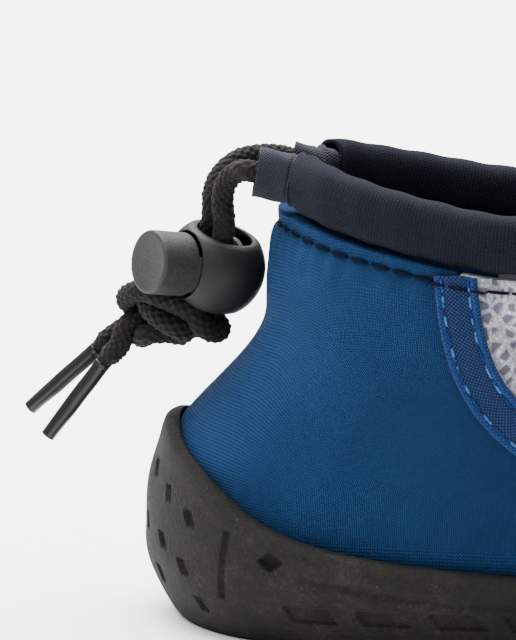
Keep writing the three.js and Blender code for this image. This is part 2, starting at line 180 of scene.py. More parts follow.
def skin_out(u, v, lift):
    lift = np.asarray(lift, float)
    return skin(u, v) + skin_normal(u, v) * (lift[..., None] if lift.ndim else lift)


# The row frame's origin lies under the middle of the sole.
_ring = outline(np.arange(60) / 60)
_low = np.array(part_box("outsole")[0]) * 1000
OFFSET = np.array([_low[0] - _ring[:, 0].min(), _low[1] - _ring[:, 1].min(), 0.0])


def M(points):
    """Design millimetres to row metres."""
    return (np.asarray(points, float) + OFFSET) * MM


# ------------------------------------------------------------------ camera, lights, floor
FOCUS = M([20.2, 0, 52.5])
CAMERA_AZIMUTH, CAMERA_ELEVATION, CAMERA_DISTANCE = math.radians(8), math.radians(11), 0.9
FIELD_HEIGHT = 0.1143  # metres across the long side of the picture at the heel
SENSOR = 36.0


def linked(obj):
    bpy.context.scene.collection.objects.link(obj)
    return obj


def make_camera():
    data = bpy.data.cameras.new("camera")
    data.sensor_width = SENSOR
    data.lens = SENSOR * CAMERA_DISTANCE / FIELD_HEIGHT
    data.clip_start = 0.01
    data.clip_end = 20
    camera = linked(bpy.data.objects.new("camera", data))
    toward = Vector((
        math.sin(CAMERA_AZIMUTH) * math.cos(CAMERA_ELEVATION),
        -math.cos(CAMERA_AZIMUTH) * math.cos(CAMERA_ELEVATION),
        math.sin(CAMERA_ELEVATION),
    ))
    camera.location = Vector(FOCUS) + toward * CAMERA_DISTANCE
    camera.rotation_euler = (-toward).to_track_quat("-Z", "Y").to_euler()
    bpy.context.scene.camera = camera


def area_light(name, place, target, size, power):
    data = bpy.data.lights.new(name, "AREA")
    data.size = size
    data.energy = power
    light = linked(bpy.data.objects.new(name, data))
    light.location = place
    light.rotation_euler = (Vector(target) - Vector(place)).to_track_quat("-Z", "Y").to_euler()


def make_studio():
    world = bpy.data.worlds.new("studio")
    bpy.context.scene.world = world
    world.use_nodes = True
    world.node_tree.nodes["Background"].inputs[0].default_value = (1, 1, 1, 1)
    world.node_tree.nodes["Background"].inputs[1].default_value = 0.4
    heel = M([20, 0, 45])
    area_light("key", (-0.7, -0.6, 1.1), heel, 0.55, 12)
    area_light("fill", (0.75, -1.0, 0.45), heel, 0.9, 1.0)
    area_light("top", (-0.25, 0.5, 1.0), M([20, 420, 0]), 1.3, 98)
    mesh = bpy.data.meshes.new("floor")
    mesh.from_pydata([(-4, -4, 0), (4, -4, 0), (4, 4, 0), (-4, 4, 0)], [], [(0, 1, 2, 3)])
    floor = linked(bpy.data.objects.new("floor", mesh))
    floor.data.materials.append(plain_material("floor_white", (0.97, 0.97, 0.97), 1.0))


# ------------------------------------------------------------------ materials
class Nodes:
    """Short helpers to build one material's node tree."""

    def __init__(self, name, color, roughness, **sockets):
        self.material = bpy.data.materials.new(name)
        self.material.use_nodes = True
        self.tree = self.material.node_tree
        self.shader = self.tree.nodes["Principled BSDF"]
        self.shader.inputs["Base Color"].default_value = (*color, 1)
        self.shader.inputs["Roughness"].default_value = roughness
        for key, value in sockets.items():
            self.shader.inputs[key.replace("_", " ")].default_value = value

    def new(self, kind, **settings):
        node = self.tree.nodes.new(kind)
        for key, value in settings.items():
            setattr(node, key, value)
        return node

    def link(self, source, target):
        if isinstance(source, bpy.types.NodeSocket):
            self.tree.links.new(source, target)
        else:
            target.default_value = source

    def math(self, operation, *values):
        node = self.new("ShaderNodeMath", operation=operation)
        for socket, value in zip(node.inputs, values):
            self.link(value, socket)
        return node.outputs[0]

    def noise(self, scale, detail=4, vector=None, roughness=0.6):
        node = self.new("ShaderNodeTexNoise")
        node.inputs["Scale"].default_value = scale
        node.inputs["Detail"].default_value = detail
        node.inputs["Roughness"].default_value = roughness
        if vector is None:
            vector = self.new("ShaderNodeTexCoord").outputs["Object"]
        self.link(vector, node.inputs["Vector"])
        return node.outputs["Fac"]

    def ramp(self, fac, *stops):
        node = self.new("ShaderNodeValToRGB")
        elements = node.color_ramp.elements
        while len(elements) < len(stops):
            elements.new(0.5)
        for element, (position, color) in zip(elements, stops):
            element.position = position
            element.color = (*color, 1)
        self.link(fac, node.inputs[0])
        return node.outputs[0]

    def mix_color(self, fac, a, b, blend="MIX"):
        node = self.new("ShaderNodeMix", data_type="RGBA", blend_type=blend)
        self.link(fac, node.inputs[0])
        for value, socket in ((a, node.inputs[6]), (b, node.inputs[7])):
            self.link((*value, 1) if isinstance(value, tuple) else value, socket)
        return node.outputs[2]

    def bump(self, height, distance, strength=1.0, normal=None):
        node = self.new("ShaderNodeBump")
        node.inputs["Distance"].default_value = distance
        node.inputs["Strength"].default_value = strength
        self.link(height, node.inputs["Height"])
        if normal is not None:
            self.link(normal, node.inputs["Normal"])
        return node.outputs[0]

    def color(self, value):
        self.link(value, self.shader.inputs["Base Color"])

    def normal(self, value):
        self.link(value, self.shader.inputs["Normal"])


def plain_material(name, color, roughness):
    return Nodes(name, color, roughness).material


def uv_parts(n):
    uv = n.new("ShaderNodeUVMap", uv_map="UVMap").outputs[0]
    parts = n.new("ShaderNodeSeparateXYZ")
    n.link(uv, parts.inputs[0])
    return uv, parts.outputs[0], parts.outputs[1]


def weighted(n, *terms):
    """Sum of (socket, weight) pairs."""
    total = None
    for socket, weight in terms:
        term = n.math("MULTIPLY", socket, weight)
        total = term if total is None else n.math("ADD", total, term)
    return total


def scaled(n, value, factor, offset):
    return n.math("ADD", n.math("MULTIPLY", value, factor), offset)


def weave(n, x, y, pitch_x, pitch_y):
    """Crossing yarns, 0 to 1, from UV millimetres."""
    sx = n.math("SINE", n.math("MULTIPLY", x, 2 * math.pi / pitch_x))
    sy = n.math("SINE", n.math("MULTIPLY", y, 2 * math.pi / pitch_y))
    return scaled(n, n.math("MULTIPLY", sx, sy), 0.5, 0.5)


def knit_height(n, wale, course):
    """Height field of a plain knit, 0 in the holes and 1 on the loops; the UV map is in millimetres."""
    _, x, y = uv_parts(n)
    side = n.math("ABSOLUTE", n.math("SUBTRACT", n.math("FRACT", n.math("DIVIDE", x, wale)), 0.5))
    rows = n.math("ADD", n.math("DIVIDE", y, course), n.math("MULTIPLY", side, 1.3))
    wave = n.math("SINE", n.math("MULTIPLY", rows, 2 * math.pi))
    ridge = n.math("SINE", n.math("MULTIPLY", side, 2 * math.pi))
    along = scaled(n, scaled(n, wave, 0.5, 0.5), 0.62, 0.38)
    return n.math("MULTIPLY", along, scaled(n, ridge, 0.7, 0.3))


def knit_material(name, painted_gap_shade, mid, light, wale, course, depth, sheen, sheen_tint):
    n = Nodes(name, mid, 0.85, Sheen_Weight=sheen, Sheen_Roughness=0.45, Specular_IOR_Level=0.06)
    n.shader.inputs["Sheen Tint"].default_value = (*sheen_tint, 1)
    height = knit_height(n, wale, course)
    cloudy = n.noise(70, 3)
    yarn = n.noise(2600, 2)
    # painted shade and highlight: the base colour runs from near black in the knit's holes to light on the
    # loop crests, following the same height field as the bump
    shade = weighted(n, (height, 0.75), (yarn, 0.25))
    base = n.ramp(shade, (0.16, painted_gap_shade), (0.4, mid), (0.7, light))
    tint = n.ramp(cloudy, (0.3, (0.86, 0.88, 0.9)), (0.7, (1.1, 1.08, 1.05)))
    n.color(n.mix_color(1.0, base, tint, "MULTIPLY"))
    n.normal(n.bump(height, depth, 0.9, n.bump(n.noise(260, 4), 0.00012, 0.5)))
    return n.material


def woven_material(name, painted_gap_shade, mid, light, pitch, depth):
    """Plain weave in UV millimetres."""
    n = Nodes(name, mid, 0.8, Sheen_Weight=0.05, Sheen_Roughness=0.4, Specular_IOR_Level=0.1)
    _, x, y = uv_parts(n)
    checker = weave(n, x, y, pitch, pitch)
    yarn = n.noise(2400, 2)
    # painted shade and highlight: the base colour darkens in the gaps between crossing yarns and lightens on
    # their crests, following the same checker as the bump
    shade = weighted(n, (checker, 0.75), (yarn, 0.3))
    n.color(n.ramp(shade, (0.15, painted_gap_shade), (0.5, mid), (0.9, light)))
    n.normal(n.bump(checker, depth, 0.9, n.bump(n.noise(500, 3), 0.0001, 0.5)))
    return n.material


def ribbon_material():
    """Woven ribbon, UV x across it: bright rolled edges, painted shade along the sunk stitch groove, a dotted
    darker middle with painted shade in its weave gaps and painted highlight on its crests.
    """
    n = Nodes("blue_ribbon", (0.0035, 0.02, 0.078), 0.75, Sheen_Weight=0.04, Specular_IOR_Level=0.12)
    _, x, y = uv_parts(n)
    dots = weave(n, x, y, 0.75, 0.7)
    yarn = n.noise(2000, 3)
    # painted shade and highlight: the woven middle is coloured darker in its weave gaps and lighter on its
    # crests, following the same dots as the bump
    middle = n.ramp(
        weighted(n, (dots, 0.7), (yarn, 0.3)),
        (0.3, (0.0008, 0.005, 0.026)), (0.62, (0.002, 0.01, 0.046)), (0.85, (0.011, 0.038, 0.12)),
    )
    edge = n.ramp(
        weighted(n, (dots, 0.3), (yarn, 0.7)), (0.3, (0.001, 0.008, 0.043)), (0.7, (0.006, 0.032, 0.13))
    )
    across = n.math("MULTIPLY", n.math("ABSOLUTE", x), 0.25)
    pick = n.ramp(across, (0.6, (0, 0, 0)), (0.68, (1, 1, 1)))
    # painted shade: over the sunk stitch groove the colour is multiplied down to 0.3, darkening it where the
    # geometry dips
    painted_channel_shade = n.ramp(across, (0.53, (1, 1, 1)), (0.585, (0.3, 0.3, 0.34)), (0.64, (1, 1, 1)))
    n.color(n.mix_color(1.0, n.mix_color(pick, middle, edge), painted_channel_shade, "MULTIPLY"))
    n.normal(n.bump(dots, 0.00022, 0.9, n.bump(n.noise(500, 3), 0.0001, 0.5)))
    return n.material


def rubber_material():
    n = Nodes("rubber", (0.03, 0.029, 0.025), 0.8, Specular_IOR_Level=0.12)
    grain = n.noise(1500, 5, roughness=0.7)
    patches = n.noise(45, 5)
    scuffs = n.noise(320, 6, roughness=0.75)
    shade = weighted(n, (patches, 0.35), (scuffs, 0.3), (grain, 0.35))
    base = n.ramp(
        shade,
        (0.36, (0.005, 0.0049, 0.0044)), (0.52, (0.011, 0.0107, 0.0092)), (0.66, (0.027, 0.0262, 0.0218)),
    )
    specks = n.ramp(n.noise(2300, 2), (0.66, (0.0, 0.0, 0.0)), (0.78, (0.05, 0.048, 0.042)))
    n.color(n.mix_color(1.0, base, specks, "ADD"))
    n.link(scaled(n, patches, 0.2, 0.66), n.shader.inputs["Roughness"])
    n.normal(n.bump(grain, 0.0005, 1.0, n.bump(scuffs, 0.0003, 0.5)))
    return n.material


def plastic_material(name, color, light, grain_depth):
    n = Nodes(name, color, 0.6, Specular_IOR_Level=0.22)
    grain = n.noise(2600, 3, roughness=0.6)
    wear = n.noise(160, 5, roughness=0.7)
    n.color(n.ramp(weighted(n, (grain, 0.5), (wear, 0.5)), (0.35, color), (0.7, light)))
    n.link(scaled(n, wear, 0.2, 0.5), n.shader.inputs["Roughness"])
    n.normal(n.bump(grain, grain_depth, 0.8))
    return n.material


def braid_material():
    n = Nodes(
        "black_braid", (0.015, 0.0145, 0.013), 0.82,
        Sheen_Weight=0.05, Sheen_Roughness=0.5, Specular_IOR_Level=0.12,
    )
    n.shader.inputs["Sheen Tint"].default_value = (0.6, 0.58, 0.52, 1)
    fibre = n.noise(3200, 3, roughness=0.7)
    patches = n.noise(380, 4)
    shade = weighted(n, (fibre, 0.55), (patches, 0.45))
    n.color(n.ramp(
        shade, (0.3, (0.002, 0.002, 0.0019)), (0.55, (0.0075, 0.0073, 0.0066)), (0.78, (0.036, 0.035, 0.031))
    ))
    n.normal(n.bump(fibre, 0.00016, 1.0))
    return n.material


def thread_material(name, dark, light, share):
    """Sewing thread; `share` of its length is the light fleck."""
    n = Nodes(name, dark, 0.8, Specular_IOR_Level=0.06)
    fleck = n.noise(420, 2)
    n.color(n.ramp(fleck, (0.72 - share, dark), (0.8 - share, light)))
    n.normal(n.bump(n.noise(3000, 2), 0.0001, 0.8))
    return n.material


# ------------------------------------------------------------------ mesh building
@contextmanager
def edited(mesh):
    bm = bmesh.new()
    bm.from_mesh(mesh)
    yield bm
    bm.to_mesh(mesh)
    bm.free()


def shade_smooth(mesh):
    mesh.polygons.foreach_set("use_smooth", np.ones(len(mesh.polygons), bool))


def mesh_object(name, points, faces, uv=None, material=None):
    """Object from design-millimetre points; uv is one pair per point, in millimetres."""
    mesh = bpy.data.meshes.new(name)
    mesh.from_pydata(M(points).tolist(), [], [list(map(int, f)) for f in faces])
    if uv is not None:
        layer = mesh.uv_layers.new(name="UVMap")
        corner = np.empty(len(mesh.loops), np.int32)
        mesh.loops.foreach_get("vertex_index", corner)
        layer.data.foreach_set("uv", np.asarray(uv, np.float32)[corner].ravel())
    shade_smooth(mesh)
    with edited(mesh) as bm:
        bmesh.ops.recalc_face_normals(bm, faces=bm.faces)
    obj = linked(bpy.data.objects.new(name, mesh))
    if material is not None:
        obj.data.materials.append(material)
    return obj


def weld(obj):
    """Join points that lie in one place."""
    with edited(obj.data) as bm:
        bmesh.ops.remove_doubles(bm, verts=bm.verts, dist=1e-7)


def grid_faces(rows, columns, wrap=False, start=0):
    faces = []
    for i in range(rows - 1):
        for j in range(columns if wrap else columns - 1):
            k = (j + 1) % columns
            a, b = start + i * columns, start + (i + 1) * columns
            faces.append((a + j, b + j, b + k, a + k))
    return faces


def sheet_object(name, outer, inner, uv, material):
    """A closed thin piece between two grids of points."""
    rows, columns = outer.shape[:2]
    count = rows * columns
    faces = grid_faces(rows, columns)
    faces += [tuple(count + k for k in reversed(f)) for f in grid_faces(rows, columns)]
    border = [(i, 0) for i in range(rows)] + [(rows - 1, j) for j in range(1, columns)]
    border += [(i, columns - 1) for i in range(rows - 2, -1, -1)]
    border += [(0, j) for j in range(columns - 2, 0, -1)]
    ids = [i * columns + j for i, j in border]
    for a, b in zip(ids, ids[1:] + ids[:1]):
        faces.append((b, a, count + a, count + b))
    points = np.concatenate([outer.reshape(-1, 3), inner.reshape(-1, 3)])
    flat_uv = uv.reshape(-1, 2)
    return mesh_object(name, points, faces, np.concatenate([flat_uv, flat_uv]), material)


def lengths(points):
    step = np.linalg.norm(np.diff(points, axis=0), axis=1)
    return np.concatenate([[0], np.cumsum(step)])


def resample(points, count):
    s = lengths(points)
    at = np.linspace(0, s[-1], count)
    return np.stack([np.interp(at, s, points[:, k]) for k in range(3)], 1)


def between(x, low, high, at_low, at_high):
    """The value at x on the line from at_low, at low, to at_high, at high."""
    return (high - x) / (high - low) * at_low + (x - low) / (high - low) * at_high


def spline(points, count):
    """Centripetal Catmull-Rom through the points, evenly resampled."""
    p = np.asarray(points, float)
    p = np.concatenate([[2 * p[0] - p[1]], p, [2 * p[-1] - p[-2]]])
    out = []
    for i in range(1, len(p) - 2):
        quad = p[i - 1:i + 3]
        t = np.concatenate([[0], np.cumsum(np.linalg.norm(np.diff(quad, axis=0), axis=1) ** 0.5)])
        x = np.linspace(t[1], t[2], 24, endpoint=False)[:, None]
        a = [between(x, t[k], t[k + 1], quad[k], quad[k + 1]) for k in range(3)]
        b = [between(x, t[k], t[k + 2], a[k], a[k + 1]) for k in range(2)]
        out.append(between(x, t[1], t[2], b[0], b[1]))
    return resample(np.concatenate(out + [p[-2:-1]]), count)


def frames_along(path):
    """Tangents and two normals carried along the path without twist."""
    tangent = unit(np.gradient(path, axis=0))
    side = np.empty_like(path)
    first = np.cross(tangent[0], (0, 0, 1))
    side[0] = first / np.linalg.norm(first)
    for i in range(1, len(path)):
        s = side[i - 1] - tangent[i] * np.dot(side[i - 1], tangent[i])
        side[i] = s / np.linalg.norm(s)
    return tangent, side, np.cross(side, tangent)


def tube_points(path, radius, sides):
    """Ring of points round each path point; radius is a number or an array (len(path), sides)."""
    _, side, up = frames_along(path)
    angle = circle(sides)
    r = np.broadcast_to(radius, (len(path), sides))[..., None]
    ring = np.cos(angle)[None, :, None] * side[:, None] + np.sin(angle)[None, :, None] * up[:, None]
    return path[:, None] + ring * r


def tube_object(name, path, radius, sides, material):
    ring = tube_points(path, radius, sides)
    s = lengths(path)
    points = np.concatenate([ring.reshape(-1, 3), path[:1], path[-1:]])
    faces = grid_faces(len(path), sides, wrap=True)
    first, last = len(points) - 2, len(points) - 1
    end = (len(path) - 1) * sides
    for k in range(sides):
        j = (k + 1) % sides
        faces += [(first, j, k), (last, end + k, end + j)]
    around = np.tile(np.arange(sides) / sides * 2 * math.pi * np.mean(radius), len(path))
    uv = np.stack([np.concatenate([around, [0, 0]]), np.concatenate([np.repeat(s, sides), [0, s[-1]]])], 1)
    return mesh_object(name, points, faces, uv, material)


def stitch_row(name, path, normals, pitch, share, radius, material):
    """Separate raised stitches along a line on a surface, each sinking in at its ends."""
    s = lengths(path)
    points, faces = [], []
    sides, steps = 7, 7
    for k in range(int(s[-1] / pitch)):
        wobble = rng.uniform(-0.04, 0.04, 2) * pitch
        at = np.linspace(k * pitch + wobble[0], k * pitch + pitch * share + wobble[1], steps)
        at = np.clip(at, 0, s[-1])
        line = np.stack([np.interp(at, s, path[:, c]) for c in range(3)], 1)
        normal = unit(np.stack([np.interp(at, s, normals[:, c]) for c in range(3)], 1))
        bow = np.sin(np.linspace(0, math.pi, steps)) ** 0.6
        line = line + normal * (radius * (1.5 * bow - 0.9))[:, None]
        ring = tube_points(line, radius * (0.75 + 0.25 * bow)[:, None], sides)
        start = sum(len(p) for p in points)
        points.append(ring.reshape(-1, 3))
        faces += grid_faces(steps, sides, wrap=True, start=start)
        faces.append(tuple(start + j for j in reversed(range(sides))))
        faces.append(tuple(start + (steps - 1) * sides + j for j in range(sides)))
    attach(mesh_object(name, np.concatenate(points), faces, None, material), "shoe")


# ------------------------------------------------------------------ the rubber cup sole
def wall_inset(z):
    return 5.5 * np.maximum(0, 1 - z / 14) ** 1.8 + 4.4 * np.maximum(0, (z - 17) / 19) ** 2


def height_to_v(u, z):
    """The v at which the skin has height z, by halving."""
    low, high = np.zeros_like(u), np.ones_like(u)
    for _ in range(22):
        middle = (low + high) / 2
        below = skin(u, middle)[..., 2] < z
        low, high = np.where(below, middle, low), np.where(below, high, middle)
    return (low + high) / 2


def dent(x, z, centre, half, turn, depth, edge=0.45):
    """Depth of a slanted parallelogram notch in a wall, at distance x round it and height z."""
    dx, dz = x - centre[0], z - centre[1]
    a = dx * math.cos(turn) + dz * math.sin(turn)
    inside = np.minimum(half[0] - np.abs(a), half[1] - np.abs(dz))
    return depth * smooth(-edge * 0.4, edge * 0.6, inside)


def sole_relief(x, z, top):
    """How far the side wall is cut in; x runs in mm round the wall from the heel's middle."""
    cut = 0 * x
    a = np.abs(x)
    notches = (
        (11.0, 27.3), (19.6, 24.4), (27.2, 21.4), (1.6, 21.6), (9.1, 17.4), (18.4, 15.9), (25.6, 12.4),
        (15.0, 9.0), (28.5, 6.0),
    )
    for cx, cz in notches:
        cut = np.maximum(cut, dent(a, z, (cx, cz), (1.0, 1.35), 0.42, 0.85))
    # a slot, a diamond and the long grooves of the side
    cut = np.maximum(cut, dent(a, z, (35.6, 14.4), (0.6, 6.2), -0.16, 0.7))
    diamond = smooth(-0.35, 0.35, 1.7 - np.abs(a - 45.0) * 0.75 - np.abs(z - 16.0))
    cut = np.maximum(cut, 1.3 * diamond * (1 - smooth(-2.2, -1.2, z - top)))
    for start in np.arange(52, 300, 13.0):
        cut = np.maximum(cut, dent(a, z, (start, 6.6), (3.6, 1.5), 0.5, 0.8))
    groove = 0.5 * np.exp(-(((z - top + 5.2) / 0.8) ** 2)) * smooth(44, 60, a)
    return np.maximum(cut, groove)


def tread(p):
    """Depth of the grooves under the sole: chevrons across it, a plain arch in the middle."""
    x, y = p[..., 0], p[..., 1]
    phase = (x + 0.55 * np.abs(y)) / 8.0
    wave = np.abs((phase % 1.0) - 0.5) * 2
    groove = 1.3 * smooth(0.62, 0.74, wave)
    arch = 1 - smooth(96, 104, x) * (1 - smooth(128, 136, x))
    return groove * arch


def make_outsole(material):
    count = 1500
    u = np.arange(count) / count
    # more points at the heel and the toe than along the sides
    u = (u - 0.11 * np.sin(4 * math.pi * u) / (2 * math.pi)) % 1.0
    edge, out, top = outline(u), outward(u), rubber_top(u)[..., 0]
    ring = np.concatenate([edge, edge[:1]])
    s = lengths(ring)[:-1]
    around = np.where(s > s[-1] / 2, s - s[-1] - 0.3, s)
    levels = np.concatenate([np.linspace(0, 0.93, 84), [0.955, 0.975, 0.99, 1.0]])
    rows, uv = [], []

    def add(points, height):
        rows.append(points)
        uv.append(np.stack([s, 0 * s + height], 1))

    centre = (outline(u) + outline(1 - u)) / 2
    centre[:, 0] = np.clip(centre[:, 0], 14, 268)
    for f in np.concatenate([np.linspace(1, 0.05, 56), [0.03, 0.015]]):
        p = mix(edge - out * 7.2, centre, f)
        p[:, 2] = tread(p) * smooth(0.0, 0.05, f)
        add(p, -f * 40)
    for inset, z in ((6.6, 0), (6.0, 0.02), (5.7, 0.06)):
        p = edge - out * inset
        p[:, 2] = z
        add(p, 0)
    for level in levels:
        z = top * level
        inset = wall_inset(z)
        lip = 0.3 * (1 - smooth(2.0, 5.5, top - z))
        round_over = 0.9 * np.maximum(0, 1 - (top - z) / 1.1) ** 2.2
        foot_round = 1.2 * np.maximum(0, 1 - z / 1.6) ** 2
        wander = 0.12 * np.sin(around * 0.31) * np.sin(z * 0.45)
        cut = sole_relief(around, z, top) * (1 - smooth(-3.6, -2.4, z - top))
        p = edge - out * (inset - lip + round_over + foot_round * 0.2 + cut + wander)[:, None]
        p[:, 2] = np.maximum(z, 0.06)
        add(p, level * 40)
    for t in (1, 0.94, 0.8, 0.6, 0.4, 0.2, 0.0):
        z = mix(SOLE_FLOOR, top, t)
        p = skin_out(u, height_to_v(u, z), CUP_CLEARANCE)
        p[:, 2] = z
        add(p, 60)
    for f in (0.3, 1.0):
        p = mix(edge - out * 3.4, centre, f)
        p[:, 2] = SOLE_FLOOR
        add(p, 70)
    faces = grid_faces(len(rows), count, wrap=True)
    obj = mesh_object("outsole_looks", np.concatenate(rows), faces, np.concatenate(uv), material)
    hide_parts("outsole")
    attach(obj, "shoe")


# ------------------------------------------------------------------ the upper's panels
RIBBON_FOOT = 0.2
TOP_GAP = 0.006


def quarter_edge(v):
    down = 1 - np.maximum(v, RIBBON_FOOT)
    return 0.174 + 0.012 * down + 0.18 * down**3.2


def surface_uv(grid):
    """UV in millimetres along a grid's rows and columns, measured on it."""
    step = np.linalg.norm(np.diff(grid, axis=1), axis=2)
    x = np.concatenate([np.zeros((len(grid), 1)), np.cumsum(step, 1)], 1)
    x -= x[:, [grid.shape[1] // 2]]
    rise = np.linalg.norm(np.diff(grid, axis=0), axis=2)
    y = np.concatenate([np.zeros((1, grid.shape[1])), np.cumsum(rise, 0)], 0)
    return np.stack([x, y], -1)


def panel(name, place, lift_out, lift_in, rows, columns, material):
    """A panel on the skin; place(s, t) gives u, v and lift_out(u, v) its relief."""
    s = np.linspace(0, 1, columns)[None, :]
    t = np.linspace(0, 1, rows)[:, None]
    s, t = np.broadcast_arrays(s, t)
    u, v = place(s, t)
    outer = skin_out(u, v, lift_out(u, v))
    inner = skin_out(u, v, lift_in(u, v))
    obj = sheet_object(name, outer, inner, surface_uv(outer), material)
    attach(obj, "shoe")
    return obj


def puff(u, v):
    """The quarter's foam: it swells under the collar stitch line and puckers at each stitch."""
    below = (1 - v) * 62.0
    swell = 0.5 * np.exp(-(((below - 5.5) / 3.2) ** 2)) - 0.55 * np.exp(-(((below - 2.5) / 0.8) ** 2))
    pucker = 0.16 * np.exp(-(((below - 4.5) / 3.0) ** 2)) * np.sin(u * 2 * math.pi * 64)
    soft = 0.3 * np.sin(u * 31 + v * 4) * np.sin(v * 7 + 1) * smooth(0.25, 0.5, v) * (1 - smooth(0.85, 1, v))
    return swell + pucker + soft


def make_upper(m):
    def quarter(s, t):
        v = t * (1 - TOP_GAP)
        return (2 * s - 1) * quarter_edge(v), v

    def flat(lift):
        return lambda u, v: 0 * u + lift

    obj = panel("heel_quarter_looks", quarter, puff, flat(-NEOPRENE), 150, 300, m["jersey"])
    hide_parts("heel_quarter")

    def gusset_half(v):
        return 0.05 + 0.1 * np.maximum(0, (v - 0.6) / 0.4) ** 1.4

    def front_side(side):
        def place(s, t):
            v = t * (1 - TOP_GAP)
            edge = quarter_edge(v) + 0.0016
            stop = np.where(v > 0.6, 0.5 - gusset_half(v), 0.5)
            u = mix(edge, stop, s)
            return (u, v) if side > 0 else (1 - u, v)
        return place

    def tucked(u, v):
        """The mesh dips where it passes under the binding of the gusset."""
        return -0.5 * np.exp(-(((v - 0.6) / 0.03) ** 2)) * (1 - smooth(0.05, 0.09, np.abs(u % 1 - 0.5)))

    for label, side in (("lateral", 1), ("medial", -1)):
        obj = panel("vamp_mesh_" + label, front_side(side), tucked, flat(-MESH_THICKNESS), 90, 220, m["mesh"])
        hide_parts("vamp_mesh")
        obj = panel("vamp_lining_" + label, front_side(side), flat(-1.1), flat(-2.2), 50, 110, m["lining"])
        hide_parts("vamp_lining")

    def gusset(s, t):
        v = mix(0.6, 1 - TOP_GAP, t)
        return 0.5 + (2 * s - 1) * gusset_half(v), v

    obj = panel("instep_gusset_looks", gusset, flat(0.0), flat(-NEOPRENE), 40, 60, m["navy"])
    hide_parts("instep_gusset")
    make_ribbon("gusset_binding", lambda t: (mix(0.45, 0.55, t), 0.596 + 0 * t), 6.1, 0.9, 90, m)
    make_ribbon("ribbon_lateral", ribbon_line(1), RIBBON_WIDTH, 0.9, 320, m)
    make_ribbon("ribbon_medial", ribbon_line(-1), RIBBON_WIDTH, 0.9, 320, m)


def ribbon_line(side):
    def at(t):
        v = mix(0.99, RIBBON_FOOT, t)
        return side * quarter_edge(v), v
    return at


def strip_points(centre, t, across, lift):
    """Points of a strip on the skin: t along it, across in mm from its middle."""
    u, v = centre(t)
    ahead, behind = centre(np.minimum(1, t + 0.01)), centre(np.maximum(0, t - 0.01))
    along = skin(*ahead) - skin(*behind)
    sideways = unit(np.cross(skin_normal(u, v), along))
    su = (skin(u + 0.002, v) - skin(u - 0.002, v)) * 250
    sv = (skin(u, np.minimum(1, v + 0.01)) - skin(u, v - 0.01)) * 50
    out, normals = [], []

    def dot(a, b):
        return (a * b).sum(-1)

    a, b, c = dot(su, su), dot(su, sv), dot(sv, sv)
    det = a * c - b * b
    for w, h in zip(across, lift):
        p, q = dot(su, sideways * w), dot(sv, sideways * w)
        uu, vv = u + (p * c - q * b) / det, np.minimum(v + (q * a - p * b) / det, 1 - TOP_GAP)
        out.append(skin_out(uu, vv, 0 * uu + h))
        normals.append(skin_normal(uu, vv))
    return np.stack(out, 1), np.stack(normals, 1)


def make_ribbon(name, centre, width, lift, steps, m):
    """Woven ribbon: raised rolled edges, a sunk stitch row inside each, a flat woven middle."""
    half = width / 2
    t = np.linspace(0, 1, steps)
    middle = np.linspace(-half + 0.8, half - 0.8, 15)
    w = np.concatenate([[-half, -half + 0.12, -half + 0.4], middle, [half - 0.4, half - 0.12, half]])
    edge_in = half - np.abs(w)
    rolled = 0.28 * np.exp(-(((edge_in - 0.6) / 0.4) ** 2))
    sunk = 0.3 * np.exp(-(((edge_in - RIBBON_STITCH) / 0.3) ** 2))
    top = smooth(-0.1, 0.35, edge_in) + rolled - sunk
    outer, _ = strip_points(centre, t, w, lift + top)
    inner, _ = strip_points(centre, t, w, lift + 0 * top)
    uv = np.stack(np.broadcast_arrays(w[None, :], lengths(outer[:, len(w) // 2])[:, None]), -1)
    obj = sheet_object(name + "_looks", outer, inner, uv, m["ribbon"])
    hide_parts(name)
    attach(obj, "shoe")
    for label, off in (("a", -half + RIBBON_STITCH), ("b", half - RIBBON_STITCH)):
        line, normal = strip_points(centre, t, [off], [lift + 0.8])
        stitch_row(name + "_stitches_" + label, line[:, 0], normal[:, 0], 3.1, 0.86, 0.24, m["ribbon_thread"])


# ------------------------------------------------------------------ the collar tunnel and its end tabs
TUNNEL_START, TUNNEL_END = 0.052, 1 - 0.066


def tunnel_middle(u):
    level = skin_normal(u, 0 * u + 0.97) * [1, 1, 0]
    p = collar_seam(u) + unit(level) * (0.2 - TUNNEL_WIDTH / 2)
    p[..., 2] += GAP + TUNNEL_HEIGHT / 2
    return p


def oval_ring(path, half_wide, half_high, sides, power):
    """Rings of a flattened, soft oval section standing up along a path."""
    tangent = unit(np.gradient(path, axis=0) * [1, 1, 0.999])
    up = np.array([0, 0, 1.0])
    side = unit(np.cross(tangent, up))
    rise = np.cross(side, tangent)
    angle = circle(sides)
    c, s = np.cos(angle), np.sin(angle)
    x = np.sign(c) * np.abs(c) ** (2 / power)
    y = np.sign(s) * np.abs(s) ** (2 / power)
    hw = np.broadcast_to(half_wide, (len(path),))[:, None]
    hh = np.broadcast_to(half_high, (len(path),))[:, None]
    return path[:, None] + side[:, None] * (x * hw)[..., None] + rise[:, None] * (y * hh)[..., None], angle


def sleeve(name, path, half_wide, half_high, wall, sides, material, relief, power=2.6):
    outer, angle = oval_ring(path, half_wide, half_high, sides, power)
    inner, _ = oval_ring(path, np.asarray(half_wide) - wall, np.asarray(half_high) - wall, sides, power)
    proud = relief(lengths(path)[:, None], angle[None, :])
    outer = outer + unit(outer - path[:, None]) * proud[..., None]
    n = len(path)
    rings = np.concatenate([outer, inner[::-1], outer[:1]])
    faces = grid_faces(2 * n + 1, sides, wrap=True)
    perimeter = np.concatenate([[0], np.cumsum(np.linalg.norm(np.diff(outer[0], axis=0), axis=1))])
    s = lengths(path)
    along = np.concatenate([s, s[::-1], s[:1]])
    uv = np.stack(np.broadcast_arrays(perimeter[None, :], along[:, None]), -1)
    obj = mesh_object(name, rings.reshape(-1, 3), faces, uv.reshape(-1, 2), material)
    weld(obj)
    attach(obj, "shoe")
    return obj


